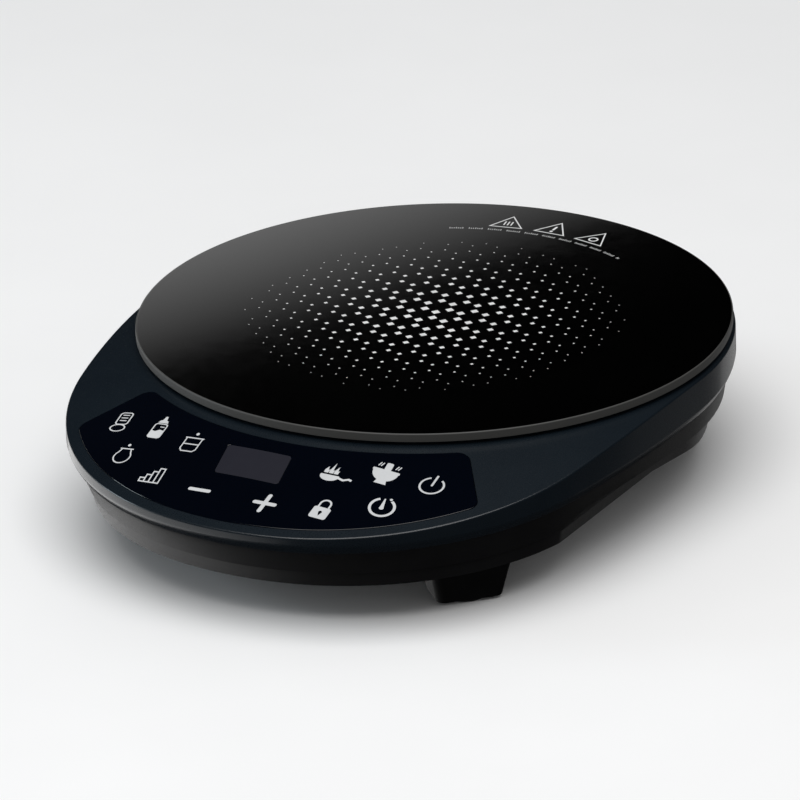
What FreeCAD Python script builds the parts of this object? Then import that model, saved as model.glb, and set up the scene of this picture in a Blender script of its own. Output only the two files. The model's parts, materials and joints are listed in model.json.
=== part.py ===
import FreeCAD, Part
import math
import os

# Portable induction cooktop: a round glass plate on a two-piece moulded housing
# whose front sweeps forward and down into a touch control panel.
# Millimetres, +Z up, -Y towards the user. Everything is drawn about the glass
# plate's axis at table level, and save() moves it so that the origin is on the
# table at the middle of the housing's footprint.

V = FreeCAD.Vector
os.makedirs("parts", exist_ok=True)

# ---- overall sizes -------------------------------------------------------
plate_r = 135.0            # glass plate
plate_t = 4.0
glass_edge = 0.6           # chamfer round the top of the glass
total_h = 71.0             # table to the top of the glass
deck_strip = 1.0           # deck showing round the glass at the sides and back
apron = 63.6               # how far the front sweeps out beyond the round body
side_r = 510.0             # gentle curve of the flanks
front_flatter = 12.0       # front edge radius over the round body's
corner_tighter = 12.0      # front corner radius under the round body's

# ---- top shell -----------------------------------------------------------
wall = 2.4
deck_wall = 2.8            # wall under the sloping deck
deck_drop = 6.4            # glass top to the deck, at the round body's radius
deck_slope = 0.29          # fall of the conical deck per mm of radius
seat_in = 4.0              # glass edge to the outer edge of the ledge under it
seat_w = 19.0
seat_wall = 3.0
sealant_t = 0.6
sealant_w = 10.0
band_h = 0.11 * total_h     # upright band at the front edge
band_tuck = 2.6            # how far the band rolls in at the parting plane
band_tuck_h = 5.0
part_slope = 0.0358        # rise of the parting plane per mm towards the back

# ---- bottom shell --------------------------------------------------------
shell_step = 0.6           # bottom shell stands in from the band's lower edge
belly_drop = 0.048 * total_h  # front parting line down to the belly's turn
belly_h = 0.1127 * total_h
belly_in = 5.4
base_front_in = 8.5        # base inside the housing's outline, front
base_side_in = 18.0
base_rear_in = 12.0
base_rear_r = 103.0
base_corner_r = 12.0
tier_h = 0.0986 * total_h   # base tier under the belly
tier_in = 1.0
tier_draft = 2.2
well_depth = 0.0845 * total_h  # fan well below the rest of the underside
well_ramp = (-10.0, 40.0)  # where the underside slopes down into the well
floor_wall = 2.4

# ---- control panel and control board -------------------------------------
panel_gap = 3.4            # round body to the panel's inner edge
panel_margin = 5.4         # housing edge to the panel's front edge
panel_half_deg = 35.5
panel_corner = 6.0
panel_t = 1.4
fit_gap = 0.2
window_x = -3.6            # the window sits a little left of the middle
window_w = 32.5
window_d = 18.5
window_gap = 7.65          # panel's inner edge to the window
window_corner = 1.6
window_lean = 3.2          # its back edge stands this far left of its front edge
window_rim = 1.5           # opening in the deck round the window
control_drop = 13.0        # deck down to the control board
control_inset = 4.5
control_posts = ((144.0, -27.3), (144.0, 27.3), (184.0, 0.0))
module_h = 8.5
spring_r = 3.0
spring_gap = 2.0           # opening in the deck round each spring
keys = ((161.0, 30.0), (153.0, 22.0), (175.0, 22.0), (154.0, 14.0), (179.0, 14.0), (179.0, 6.0))

# ---- coil assembly -------------------------------------------------------
mica_r = 90.0
mica_t = 0.5
mica_gap = 0.4             # mica to the underside of the glass
former_r = 92.0
former_t = 3.0
former_rim = 2.0
former_slots = 12
slot_span = (32.0, 80.0)
slot_w = 5.0
coil_inner_r = 25.0
coil_outer_r = 87.0
coil_t = 4.4
coil_turns = 20
coil_crown = 0.8           # height of one turn's rounded top
coil_gap = 0.9             # winding to the mica
ferrite_l = 52.0
ferrite_w = 15.0
ferrite_t = 5.0
ferrite_n = 6
ferrite_start = 28.0
lug_ring_r = 99.0
lug_r = 6.0
lug_deg = (60.0, 180.0, 300.0)
cushion_r = 5.8
cushion_gap = 2.2          # mica clear of the sensor cushion
sensor_r = 2.5
sensor_t = 1.8

# ---- cooling fan ---------------------------------------------------------
fan_x, fan_y = -46.0, 36.0
fan_side = 76.0
fan_t = 18.0
fan_lift = 3.6             # inner floor to the fan
fan_corner_r = 5.0
fan_bore_r = 36.0
fan_hub_r = 14.0
fan_hub_wall = 2.5
fan_tip_gap = 1.5
fan_blades = 7
fan_blade_t = 1.4
fan_pitch_deg = 38.0
fan_screw_in = 4.5
fan_arm_w = 4.0
fan_plate_t = 2.0
bearing_r = 4.0
bearing_h = 9.0
rotor_end_gap = 1.5
stator_h = 6.0
stator_gap = 1.0
shaft_r = 1.5
shaft_gap = 0.05

# ---- power board: lower left and upper right corners from the plate's axis --
board_t = 1.6
board_lift = 5.6           # inner floor to the board
board_box = (4.0, -74.0, 98.0, 60.0)
board_inset = 6.0
sink_box = (8.0, -36.0, 50.0, 56.0)
sink_foot_h = 1.0
sink_foot_r = 3.0
sink_base = 5.0
sink_gap = 2.6             # fin tops to the ferrite bars
sink_fins = 9
fin_t = 1.6
fin_start = -8.0
chip_edge = 0.6

# what stands on the board: middle x, y, then width, depth, height
transistor_size = (19.0, -22.0, 16.0, 20.0, 5.0)
rectifier_size = (39.0, -22.0, 18.0, 20.0, 4.0)
capacitor_sizes = ((76.0, -14.0, 32.0, 15.0, 18.0), (76.0, 6.0, 32.0, 15.0, 18.0))
transformer_size = (24.0, -58.0, 22.0, 18.0, 15.0)
line_capacitor_size = (82.0, -36.0, 22.0, 9.0, 15.0)
terminal_size = (64.0, 53.0, 20.0, 10.0, 11.0)
socket_sizes = ((8.0, -48.0, 6.0, 10.0, 6.0), (60.0, -64.0, 12.0, 6.0, 6.0), (34.0, -44.0, 6.0, 5.0, 6.0))
wire_hole_r = 2.0
wire_hole_x = 5.0
wire_hole_depth = 4.0
choke_x, choke_y = 78.0, 34.0
choke_r = 13.0
choke_core_r = 7.0
choke_h = 16.0
choke_flange_t = 2.0
choke_wire_in = 1.0
buzzer_x, buzzer_y = 46.0, -60.0
buzzer_r = 6.0
buzzer_h = 9.0
buzzer_hole = (1.5, 1.0)   # radius, depth
fuse_x, fuse_y = 68.0, -44.0
fuse_l = 20.0
fuse_r = 2.6
fuse_lift = 4.2
clip_w = 3.0
clip_spread = 14.0
clip_wall = 0.8

# ---- feet, screws, cord inlet, vents ---------------------------------------
feet = ((82.0, -123.0, 45.0), (74.0, 80.0, 135.0))   # x, y, turn from the front
foot_w = 30.0
foot_d = 22.0
foot_flare = 4.5           # wider on every side at the top
foot_round = 4.0
foot_sink = 3.0            # runs up past the base's underside before it is fitted
foot_web = 4.0             # thickness of the foot over its screw head
pad_t = 1.2
pad_in = 1.0
nut_r = 3.0
nut_h = 2.4
bolt_r = 1.5
core_r = 1.2               # thread-forming screws, drawn at their pilot hole's size
hole_gap = 0.2
head_r = 3.0
head_t = 2.0
head_gap = 1.0
post_r = 3.6
coil_post_r = 4.4
boss_r = 4.6
pilot_depth = 8.0
shell_screws = ((102.0, -106.0), (97.0, 66.0))
shell_screw_web = 6.0      # parting plane down to the screw head
shell_screw_l = 13.0
gland_drop = 9.3           # parting plane at the back down to the cord's axis
gland_bore_r = 3.6
gland_body_r = 6.0
gland_flange_r = 7.5
gland_flange_t = 2.0
gland_tail_r = 6.8
gland_pad_r = 9.0
gland_pad_proud = 2.0      # pad stands out from the belly
gland_pad_t = 6.2
gland_l = 12.0
intake_slots = 11
intake_w = 3.0
intake_rim = 2.0
louvre_n = 10
louvre_w = 2.4
louvre_pitch = 5.4
louvre_first = 22.0
louvre_h = 9.0
louvre_lift = 1.0
louvre_depth = 40.0

# ---- worked out -----------------------------------------------------------
rear_r = plate_r + deck_strip
front_reach = rear_r + apron
front_r = rear_r + front_flatter
corner_r = rear_r - corner_tighter
plate_y = (front_reach - rear_r) / 2
seat_r = plate_r - seat_in
seat_inner_r = seat_r - seat_w
panel_inner_r = rear_r + panel_gap
window_r = panel_inner_r + window_gap + window_d / 2
base_half_w = rear_r - base_side_in
base_rear = rear_r - base_rear_in

glass_z = total_h - plate_t
seat_z = glass_z - sealant_t
deck_rim_z = total_h - deck_drop
part_front_z = deck_rim_z - deck_slope * apron - band_h
belly_z = part_front_z - belly_drop
rim_z = belly_z - belly_h
floor_z = rim_z - tier_h   # underside of the base
well_z = floor_z - well_depth
tray_z = floor_z + floor_wall
board_z = tray_z + board_lift
board_top = board_z + board_t
fan_z = tray_z + fan_lift
mica_z = glass_z - mica_gap - mica_t
coil_z = mica_z - coil_gap - coil_t
former_z = coil_z - former_t
ferrite_z = former_z - ferrite_t
far = 3 * front_reach      # longer than anything it cuts


def save(name, shape):
    shape = shape.copy()
    shape.translate(V(0, plate_y, 0))
    shape.exportStep("parts/%s.step" % name)
    print("%-24s solids %d volume %.0f valid %s" % (name, len(shape.Solids), shape.Volume, shape.isValid()))


def fuse(shapes):
    result = shapes[0]
    for piece in shapes[1:]:
        result = result.fuse(piece)
    return result.removeSplitter()


def cut_all(shape, tools):
    for tool in tools:
        shape = shape.cut(tool)
    return shape


def group(shapes):
    return Part.makeCompound(shapes)


def box(x0, y0, z0, x1, y1, z1):
    return Part.makeBox(x1 - x0, y1 - y0, z1 - z0, V(x0, y0, z0))


def cylinder(x, y, z0, z1, r):
    return Part.makeCylinder(r, z1 - z0, V(x, y, z0))


def tube(x, y, z0, z1, r_out, r_in):
    return cylinder(x, y, z0, z1, r_out).cut(cylinder(x, y, z0, z1, r_in))


def drill(x, y, r):
    """Upright hole through everything."""
    return cylinder(x, y, -far, far, r)


def centred(x, y, z0, z1, w, d):
    return box(x - w / 2, y - d / 2, z0, x + w / 2, y + d / 2, z1)


def rounded(shape, radius):
    upright = [e for e in shape.Edges if abs(e.tangentAt(e.FirstParameter).z) > 0.999]
    return shape.makeFillet(radius, upright)


def turned(shape, degrees):
    shape = shape.copy()
    shape.rotate(V(0, 0, 0), V(0, 0, 1), degrees)
    return shape


def moved(shape, x, y, z=0.0):
    shape = shape.copy()
    shape.translate(V(x, y, z))
    return shape


def polygon(points):
    return Part.makePolygon([V(*p) for p in points] + [V(*points[0])])


def revolved(profile):
    """Solid of revolution about the plate's axis from (radius, height) points."""
    face = Part.Face(polygon([(r, 0.0, z) for r, z in profile]))
    return face.revolve(V(0, 0, 0), V(0, 0, 1), 360)


def polar(radius, degrees):
    """Point at a radius from the plate's axis; 0 degrees is the front, + is the user's right."""
    a = math.radians(degrees)
    return radius * math.sin(a), -radius * math.cos(a)


def mirror_places(places):
    """Each place and its mirror image on the other side of the middle."""
    return [(side * x, y) for x, y in places for side in (-1, 1)]


# ---- housing outline -----------------------------------------------------
def meet(c0, r0, c1, r1):
    """Frontmost crossing of two circles in plan."""
    dx, dy = c1[0] - c0[0], c1[1] - c0[1]
    d = math.hypot(dx, dy)
    a = (d * d + r0 * r0 - r1 * r1) / (2 * d)
    h = math.sqrt(r0 * r0 - a * a)
    first = (c0[0] + (a * dx + h * dy) / d, c0[1] + (a * dy - h * dx) / d)
    second = (c0[0] + (a * dx - h * dy) / d, c0[1] + (a * dy + h * dx) / d)
    return first if first[1] < second[1] else second


def direction(c0, c1):
    return math.atan2(c1[1] - c0[1], c1[0] - c0[0])


front_c = (0.0, front_r - front_reach)
side_c = (rear_r - side_r, 0.0)
corner_c = meet(side_c, side_r - corner_r, front_c, front_r - corner_r)
front_turn = direction(front_c, corner_c)
side_turn = direction(side_c, corner_c)
side_split = side_turn + 0.03
rear_split = math.radians(70)


def on(centre, radius, angle):
    return V(centre[0] + radius * math.cos(angle), centre[1] + radius * math.sin(angle), 0)


def arc(centre, radius, a0, a1):
    mid = (a0 + a1) / 2
    return Part.Arc(on(centre, radius, a0), on(centre, radius, mid), on(centre, radius, a1)).toShape()


def mirrored_wire(right):
    """Closed wire from the edges of its right half, front to back."""
    left = [e.mirror(V(0, 0, 0), V(1, 0, 0)) for e in reversed(right)]
    return Part.Wire(Part.__sortEdges__(right + left))


def outline(grow):
    """Plan outline of the housing, offset outwards by grow."""
    return mirrored_wire([
        arc(front_c, front_r + grow, -math.pi / 2, front_turn),
        arc(corner_c, corner_r + grow, front_turn, side_turn),
        arc(side_c, side_r + grow, side_turn, side_split),
        arc(side_c, side_r + grow, side_split, 0.0),
        arc((0, 0), rear_r + grow, 0.0, rear_split),
        arc((0, 0), rear_r + grow, rear_split, math.pi / 2),
    ])


def base_outline(grow):
    """Plan outline of the base: the same front, but straight flanks and a squarer back."""
    half = base_half_w + grow
    reach = corner_r - base_front_in + grow
    tight = base_corner_r + grow
    tight_x = half - tight
    tight_c = (tight_x, corner_c[1] - math.sqrt((reach - tight) ** 2 - (tight_x - corner_c[0]) ** 2))
    rear_c = (base_half_w - base_rear_r, base_rear - base_rear_r)
    back_r = base_rear_r + grow
    turn = direction(corner_c, tight_c)
    back = V(rear_c[0], rear_c[1] + back_r, 0)
    return mirrored_wire([
        arc(front_c, front_r - base_front_in + grow, -math.pi / 2, front_turn),
        arc(corner_c, reach, front_turn, turn),
        arc(tight_c, tight, turn, 0.0),
        Part.makeLine(V(half, tight_c[1], 0), V(half, rear_c[1], 0)),
        arc(rear_c, back_r, 0.0, math.pi / 2),
        Part.makeLine(back, V(0, back.y, 0)),
    ])


def at_level(wire, z):
    wire = wire.copy()
    wire.translate(V(0, 0, z))
    return wire


def at_parting(wire, rise):
    """Lay a plan wire on the parting plane, raised by rise."""
    wire = wire.copy()
    wire.rotate(V(0, -front_reach, 0), V(1, 0, 0), math.degrees(math.atan(part_slope)))
    wire.translate(V(0, 0, part_front_z + rise))
    return wire


def parting_z(y):
    return part_front_z + part_slope * (y + front_reach)


def loft(wires):
    return Part.makeLoft(wires, True, True)


def deck_z(radius, below=0.0):
    return deck_rim_z - deck_slope * (radius - rear_r) - below


def deck_body(below, top_z=seat_z):
    """Everything under the deck lowered by below, with a flat top over the glass ledge."""
    skirt = front_reach + apron
    return revolved([(0, 0), (skirt, 0), (skirt, deck_z(skirt, below)), (seat_r, deck_z(seat_r, below)),
                     (seat_r, top_z), (0, top_z)])


def above_floor(lift):
    """Space above the underside of the base, raised by lift."""
    y0, y1 = well_ramp
    profile = [(-far, -far, floor_z + lift), (-far, y0, floor_z + lift), (-far, y1, well_z + lift),
               (-far, far, well_z + lift), (-far, far, far), (-far, -far, far)]
    return Part.Face(polygon(profile)).extrude(V(2 * far, 0, 0))


def floor_at(y):
    """Inner floor level at a distance y behind the plate's axis."""
    y0, y1 = well_ramp
    share = min(1.0, max(0.0, (y - y0) / (y1 - y0)))
    return tray_z - share * well_depth


# ---- fasteners and posts ---------------------------------------------------
def screw(x, y, seat, length, head_side=1, r=core_r):
    """Pan-head screw; seat is the level under its head, head_side +1 has the head on top."""
    shank = sorted((seat, seat - head_side * length))
    head = sorted((seat, seat + head_side * head_t))
    return cylinder(x, y, shank[0], shank[1], r).fuse(cylinder(x, y, head[0], head[1], head_r)).removeSplitter()


def post(x, y, top, r):
    """Cored screw post standing on the inner floor."""
    outer = cylinder(x, y, 0, top, r).common(above_floor(floor_wall / 2))
    return outer.cut(cylinder(x, y, floor_at(y), top, core_r))


# ---- control panel -------------------------------------------------------
def panel_prism(shrink):
    """Upright block with the panel's plan outline, smaller all round by shrink."""
    half = math.radians(panel_half_deg)
    blank = Part.Face(outline(-panel_margin - shrink)).extrude(V(0, 0, total_h))
    hub = (0.0, -shrink / math.sin(half), 0.0)
    edge = [polar(far, side * panel_half_deg) + (0.0,) for side in (-1, 1)]
    wedge = Part.Face(polygon([hub] + edge)).extrude(V(0, 0, total_h))
    block = blank.common(wedge).cut(drill(0, 0, panel_inner_r + shrink))
    return rounded(block, panel_corner - shrink)


def window_block(shrink):
    half_w, half_d = window_w / 2 - shrink, window_d / 2 - shrink
    corners = [V(window_x + side * half_w - window_lean * end * half_d / window_d,
                 -window_r + end * half_d, 0)
               for side, end in ((-1, -1), (1, -1), (1, 1), (-1, 1), (-1, -1))]
    block = Part.Face(Part.makePolygon(corners)).extrude(V(0, 0, total_h))
    return rounded(block, window_corner)


deck_top = deck_body(0.0)
under_panel = deck_body(panel_t)
panel_layer = deck_top.cut(under_panel)
save("control_panel", panel_prism(fit_gap).common(panel_layer).cut(window_block(0.0)))
save("display_window", window_block(fit_gap).common(panel_layer))

# ---- control board, parallel to the middle of the deck ------------------------
board_tilt = math.atan(deck_slope)


def on_control_board(shape, x, y):
    """Stand a shape drawn about the origin on the control board at a place in plan."""
    shape = shape.copy()
    shape.rotate(V(0, 0, 0), V(1, 0, 0), math.degrees(board_tilt))
    shape.translate(V(x, y, deck_z(window_r, control_drop) + deck_slope * (y + window_r)))
    return shape


def key_column(radius, place):
    """Column from the control board up through the deck, meeting it under a key."""
    x, y = place
    lean = control_drop * math.sin(board_tilt) * math.cos(board_tilt)
    return on_control_board(cylinder(0, 0, board_t, 2 * control_drop, radius), x, y + lean)


key_places = [polar(r, side * a) for r, a in keys for side in (-1, 1)]
post_places = [polar(r, a) for r, a in control_posts]
slab = on_control_board(centred(0, 0, 0, board_t, far, far), 0, -window_r)
control_holes = [on_control_board(drill(0, 0, core_r + hole_gap), x, y) for x, y in post_places]
save("control_board", cut_all(panel_prism(control_inset).common(slab), control_holes))
module = centred(0, 0, board_t, board_t + module_h, window_w - window_rim, window_d - window_rim)
save("display_module", on_control_board(module, window_x, -window_r + module_h * math.sin(board_tilt)))
under_springs = deck_body(panel_t + hole_gap)
save("touch_springs", group([key_column(spring_r, place).common(under_springs) for place in key_places]))
control_screw = screw(0, 0, 0, board_t + head_t, -1)
save("control_screws", group([on_control_board(control_screw, x, y) for x, y in post_places]))

# ---- top shell -----------------------------------------------------------
tuck = -band_tuck - wall
skin = loft([at_level(outline(0), total_h), at_parting(outline(0), band_tuck_h), at_parting(outline(-band_tuck), 0)])
hollow = loft([at_level(outline(-wall), total_h), at_parting(outline(-wall), band_tuck_h),
               at_parting(outline(tuck), 0), at_parting(outline(tuck), -wall)])
roof = deck_body(deck_wall, seat_z - seat_wall)
top_shell = skin.common(deck_top).cut(hollow.common(roof)).cut(drill(0, 0, seat_inner_r))
top_shell = top_shell.cut(panel_prism(0).cut(under_panel))
top_shell = top_shell.cut(window_block(-window_rim))
top_shell = cut_all(top_shell, [key_column(spring_r + spring_gap, place) for place in key_places])

screw_places = mirror_places(shell_screws)
inside_deck = deck_body((deck_wall + panel_t) / 2, seat_z - seat_wall / 2)
bosses = []
for x, y in screw_places:
    boss = cylinder(x, y, parting_z(y), total_h, boss_r).common(inside_deck)
    bosses.append(boss.cut(cylinder(x, y, 0, parting_z(y) + pilot_depth, core_r)))
for x, y in post_places:
    stand = on_control_board(cylinder(0, 0, board_t, 2 * control_drop, post_r), x, y).common(inside_deck)
    bosses.append(stand.cut(on_control_board(cylinder(0, 0, 0, board_t + head_t, core_r), x, y)))
save("top_shell", fuse([top_shell] + bosses))


# ---- bottom shell --------------------------------------------------------
def tray(shrink, top_rise):
    """Belly and base tier, smaller all round by shrink; the top rises past the parting plane."""
    top = -band_tuck - shell_step - shrink
    belly = loft([at_parting(outline(top), top_rise), at_level(outline(-belly_in - shrink), belly_z),
                  at_level(base_outline(-shrink), rim_z)])
    tier = loft([at_level(base_outline(-tier_in - shrink), rim_z),
                 at_level(base_outline(-tier_in - tier_draft - shrink), well_z)])
    return belly.fuse(tier)


tray_body = tray(0.0, 0.0).common(above_floor(0.0))
bottom_shell = tray_body.cut(tray(wall, wall).common(above_floor(floor_wall)))

x0, y0, x1, y1 = board_box
board_holes = [(x, y) for x in (x0 + board_inset, x1 - board_inset) for y in (y0 + board_inset, y1 - board_inset)]
fan_hole = fan_side / 2 - fan_screw_in
fan_holes = [(fan_x + sx * fan_hole, fan_y + sy * fan_hole) for sx in (-1, 1) for sy in (-1, 1)]
lug_places = [polar(lug_ring_r, a + 90) for a in lug_deg]
foot_places = [(side * x, y, side * turn) for x, y, turn in feet for side in (-1, 1)]

posts = [post(x, y, board_z, post_r) for x, y in board_holes]
posts += [post(x, y, fan_z, post_r) for x, y in fan_holes]
posts += [post(x, y, former_z, coil_post_r) for x, y in lug_places]
for x, y in screw_places:
    posts.append(cylinder(x, y, 0, parting_z(y) - fit_gap, boss_r).common(above_floor(floor_wall / 2)))
bottom_shell = fuse([bottom_shell] + posts)
for x, y in screw_places:
    bottom_shell = bottom_shell.cut(cylinder(x, y, 0, parting_z(y) - shell_screw_web, head_r + hole_gap))
    bottom_shell = bottom_shell.cut(drill(x, y, core_r + hole_gap))
for x, y, turn in foot_places:
    bottom_shell = bottom_shell.cut(drill(x, y, bolt_r + hole_gap))

# intake grille under the fan, exhaust louvres either side of the cord inlet
slots = []
for i in range(intake_slots):
    off = (i - (intake_slots - 1) / 2) * 2 * intake_w
    half = math.sqrt((fan_bore_r - intake_rim) ** 2 - off ** 2)
    slots.append(centred(fan_x + off, fan_y, 0, fan_z, intake_w, 2 * half))
for i in range(louvre_n):
    for side in (-1, 1):
        x = side * (louvre_first + i * louvre_pitch)
        slots.append(box(x - louvre_w / 2, rear_r - louvre_depth, belly_z + louvre_lift,
                         x + louvre_w / 2, rear_r, belly_z + louvre_lift + louvre_h))
bottom_shell = cut_all(bottom_shell, slots)

# cord inlet in the middle of the back wall
gland_z = parting_z(rear_r) - gland_drop
gland_face = rear_r - belly_in + gland_pad_proud


def along(start, length, r):
    """Cylinder along the cord's axis, from start towards the back."""
    return Part.makeCylinder(r, length, V(0, start, gland_z), V(0, 1, 0))


gland_back = gland_face - gland_pad_t
pad_block = along(gland_back, gland_pad_t, gland_pad_r)
pad_block = pad_block.common(box(-far, 0, 0, far, far, parting_z(gland_back) - fit_gap))
bottom_shell = fuse([bottom_shell, pad_block]).cut(along(gland_back - gland_l, 2 * gland_l, gland_body_r))
bottom_shell = bottom_shell.cut(along(gland_back - gland_l, gland_l, gland_tail_r + hole_gap))
save("bottom_shell", bottom_shell)

gland_start = gland_face + gland_flange_t - gland_l
gland = fuse([along(gland_face, gland_flange_t, gland_flange_r), along(gland_start, gland_l, gland_body_r),
              along(gland_start, gland_back - gland_start, gland_tail_r)])
save("cord_gland", gland.cut(along(gland_start, gland_l, gland_bore_r)))
print("gland bore y %.2f to %.2f, z %.2f" % (gland_start + plate_y, gland_start + gland_l + plate_y, gland_z))


# ---- feet ----------------------------------------------------------------
def sole(grow, z):
    """Rounded rectangle of the foot's plan at a level."""
    block = rounded(centred(0, 0, 0, 1, foot_w + 2 * grow, foot_d + 2 * grow), foot_round)
    return at_level([f for f in block.Faces if f.normalAt(0, 0).z < -0.9][0].OuterWire, z)


foot_names = ("foot_front_left", "foot_front_right", "foot_rear_left", "foot_rear_right")
pads = []
bolts = []
nuts = []
for name, (x, y, turn) in zip(foot_names, foot_places):
    top = floor_at(y) - floor_wall
    foot = moved(turned(loft([sole(0.0, pad_t), sole(foot_flare, top + foot_sink)]), turn), x, y)
    foot = foot.cut(tray_body).cut(cylinder(x, y, 0, top - foot_web, head_r + head_gap))
    save(name, foot.cut(drill(x, y, bolt_r + hole_gap)))
    pads.append(tube(x, y, 0, pad_t, foot_d / 2 - pad_in, head_r + head_gap))
    bolts.append(screw(x, y, top - foot_web, foot_web + floor_wall + nut_h, -1, bolt_r))
    nuts.append(tube(x, y, floor_at(y), floor_at(y) + nut_h, nut_r, bolt_r))
save("foot_pads", group(pads))
save("foot_screws", group(bolts))
save("foot_nuts", group(nuts))
save("shell_screws", group([screw(x, y, parting_z(y) - shell_screw_web, shell_screw_l, -1)
                            for x, y in screw_places]))

# ---- glass plate and its sealant -----------------------------------------
glass = cylinder(0, 0, glass_z, total_h, plate_r)
save("glass_plate", glass.makeChamfer(glass_edge, [e for e in glass.Edges if e.BoundBox.ZMin > glass_z + 1]))
sealant_r = (seat_r + seat_inner_r + sealant_w) / 2
save("plate_sealant", tube(0, 0, seat_z, glass_z, sealant_r, sealant_r - sealant_w))

# ---- coil assembly -------------------------------------------------------
save("mica_sheet", tube(0, 0, mica_z, mica_z + mica_t, mica_r, cushion_r + cushion_gap))
rim_ring = tube(0, 0, former_z, mica_z, former_r, former_r - former_rim)
hub_ring = tube(0, 0, former_z, mica_z, coil_inner_r - former_rim, coil_inner_r - 2 * former_rim)
former = [tube(0, 0, former_z, coil_z, former_r, cushion_r + hole_gap), rim_ring, hub_ring]
for x, y in lug_places:
    former.append(cylinder(x, y, former_z, coil_z, lug_r))
for a in lug_deg:
    former.append(turned(box(former_r - 2 * former_rim, -lug_r, former_z, lug_ring_r, lug_r, coil_z), a))
coil_former = cut_all(fuse(former), [drill(x, y, core_r + hole_gap) for x, y in lug_places])
for k in range(former_slots):
    slot = box(slot_span[0], -slot_w / 2, former_z, slot_span[1], slot_w / 2, coil_z)
    coil_former = coil_former.cut(turned(slot, 360 / former_slots * (k + 0.5)))
save("coil_former", coil_former)

pitch = (coil_outer_r - coil_inner_r) / coil_turns
shoulder = coil_z + coil_t - coil_crown
edges = []
for k in range(coil_turns):
    left = coil_inner_r + k * pitch
    crown = V(left + pitch / 2, 0, coil_z + coil_t)
    edges.append(Part.Arc(V(left, 0, shoulder), crown, V(left + pitch, 0, shoulder)).toShape())
corners = [V(coil_outer_r, 0, shoulder), V(coil_outer_r, 0, coil_z), V(coil_inner_r, 0, coil_z),
           V(coil_inner_r, 0, shoulder)]
edges += [Part.makeLine(a, b) for a, b in zip(corners, corners[1:])]
save("coil_winding", Part.Face(Part.Wire(edges)).revolve(V(0, 0, 0), V(0, 0, 1), 360))

bar = box(ferrite_start, -ferrite_w / 2, ferrite_z, ferrite_start + ferrite_l, ferrite_w / 2, former_z)
save("ferrite_bars", group([turned(bar, 360 / ferrite_n * k) for k in range(ferrite_n)]))
save("sensor_cushion", cylinder(0, 0, former_z, glass_z - sensor_t, cushion_r))
save("temperature_sensor", cylinder(0, 0, glass_z - sensor_t, glass_z, sensor_r))
save("coil_screws", group([screw(x, y, coil_z, former_t + pilot_depth - 1) for x, y in lug_places]))

# ---- cooling fan, drawn about its own axis ---------------------------------
frame = rounded(centred(0, 0, fan_z, fan_z + fan_t, fan_side, fan_side), fan_corner_r)
frame = frame.cut(drill(0, 0, fan_bore_r))
cup = cylinder(0, 0, fan_z, fan_z + fan_plate_t, fan_hub_r)
bearing = cylinder(0, 0, fan_z, fan_z + bearing_h, bearing_r)
arm = box(0, -fan_arm_w / 2, fan_z, fan_bore_r + 1, fan_arm_w / 2, fan_z + fan_plate_t)
fan_frame = fuse([frame, cup, bearing] + [turned(arm, 30 + 120 * k) for k in range(3)])
fan_frame = fan_frame.cut(cylinder(0, 0, fan_z + fan_plate_t / 2, total_h, shaft_r + shaft_gap))
fan_frame = cut_all(fan_frame, [drill(x - fan_x, y - fan_y, core_r + hole_gap) for x, y in fan_holes])
save("fan_frame", moved(fan_frame, fan_x, fan_y))

cup_r = fan_hub_r - fan_hub_wall
stator_z = fan_z + fan_plate_t
save("fan_stator", moved(tube(0, 0, stator_z, stator_z + stator_h, cup_r - stator_gap, bearing_r), fan_x, fan_y))

rotor_z0 = fan_z + fan_plate_t + rotor_end_gap
rotor_z1 = fan_z + fan_t - rotor_end_gap
cup_z = fan_z + bearing_h + 1
tip_r = fan_bore_r - fan_tip_gap
hub = cylinder(0, 0, rotor_z0, rotor_z1, fan_hub_r).cut(cylinder(0, 0, rotor_z0, cup_z, cup_r))
rotor = [hub, cylinder(0, 0, fan_z + fan_plate_t / 2 + shaft_gap, rotor_z1, shaft_r)]
blade = box(cup_r, -fan_blade_t / 2, -fan_t, tip_r, fan_blade_t / 2, fan_t)
blade.rotate(V(0, 0, 0), V(1, 0, 0), fan_pitch_deg)
blade.translate(V(0, 0, (rotor_z0 + rotor_z1) / 2))
blade = blade.common(tube(0, 0, rotor_z0, rotor_z1, tip_r, fan_hub_r - fan_hub_wall / 2))
rotor += [turned(blade, 360 / fan_blades * k) for k in range(fan_blades)]
save("fan_rotor", moved(fuse(rotor), fan_x, fan_y))
print("fan axis x %.2f y %.2f, rotor z %.2f to %.2f" % (fan_x, fan_y + plate_y, rotor_z0, rotor_z1))
save("fan_screws", group([screw(x, y, fan_z + fan_t, fan_z + fan_t - floor_at(y) - hole_gap) for x, y in fan_holes]))

# ---- power board and heatsink ----------------------------------------------
board = cut_all(box(x0, y0, board_z, x1, y1, board_top), [drill(x, y, core_r + hole_gap) for x, y in board_holes])
save("power_board", board)
save("board_screws", group([screw(x, y, board_top, board_t + board_lift - hole_gap) for x, y in board_holes]))

sx0, sy0, sx1, sy1 = sink_box
sink_z = board_top + sink_foot_h
base_top = sink_z + sink_base
fin_pitch = (sy1 - fin_start - fin_t) / (sink_fins - 1)
sink = [box(sx0, sy0, sink_z, sx1, sy1, base_top)]
for k in range(sink_fins):
    y = fin_start + k * fin_pitch
    sink.append(box(sx0, y, base_top, sx1, y + fin_t, ferrite_z - sink_gap))
sink = [piece.cut(drill(x, y, head_r + head_gap)) for piece in sink for x, y in board_holes[1:2]]
for x in ((sx0 + sx1) / 2, sx1 - 2 * sink_foot_r):
    for y in (sy0 + sink_foot_r, sy1 - 2 * sink_foot_r):
        sink.append(cylinder(x, y, board_top, sink_z, sink_foot_r))
save("heatsink", fuse(sink))


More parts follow.
